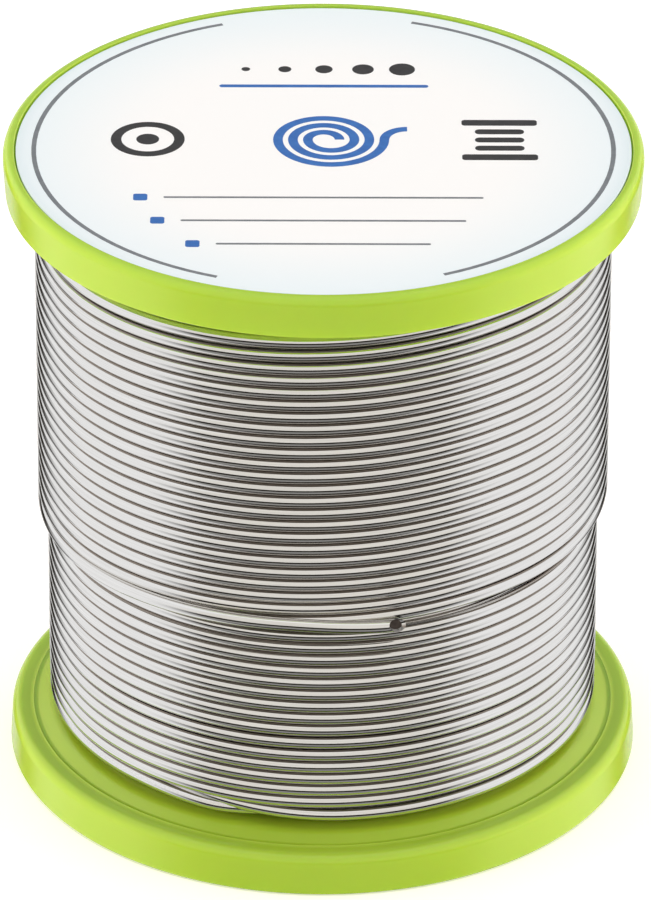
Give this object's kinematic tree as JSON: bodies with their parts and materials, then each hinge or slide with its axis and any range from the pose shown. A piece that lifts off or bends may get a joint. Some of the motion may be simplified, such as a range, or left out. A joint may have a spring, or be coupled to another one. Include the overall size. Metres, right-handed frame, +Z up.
{
  "type": "solder wire spool",
  "caption": "Reel of bright solder wire wound in level turns on a lime-green moulded plastic spool, with raised flange rims and a round label closing the upper end.",
  "frame": {"origin": "centre of the ring that the lower rim stands on", "axes": "+Z up along the spool's axis, -Y towards the side where the outer layer's cut end lies"},
  "size_m": [0.073, 0.073, 0.0775],
  "materials": {
    "spool_plastic": "glossy injection-moulded plastic, lime green, slightly translucent",
    "label_paper": "smooth coated paper, white with a pale blue edge",
    "solder_wire": "bright drawn tin solder, mirror-like with fine drawing lines"
  },
  "bodies": {
    "root": {"lower_spool_half": "spool_plastic", "upper_spool_half": "spool_plastic", "top_label": "label_paper", "wire_inner_layers": "solder_wire", "wire_under_layer": "solder_wire", "wire_outer_layer": "solder_wire"}
  },
  "joints": []
}
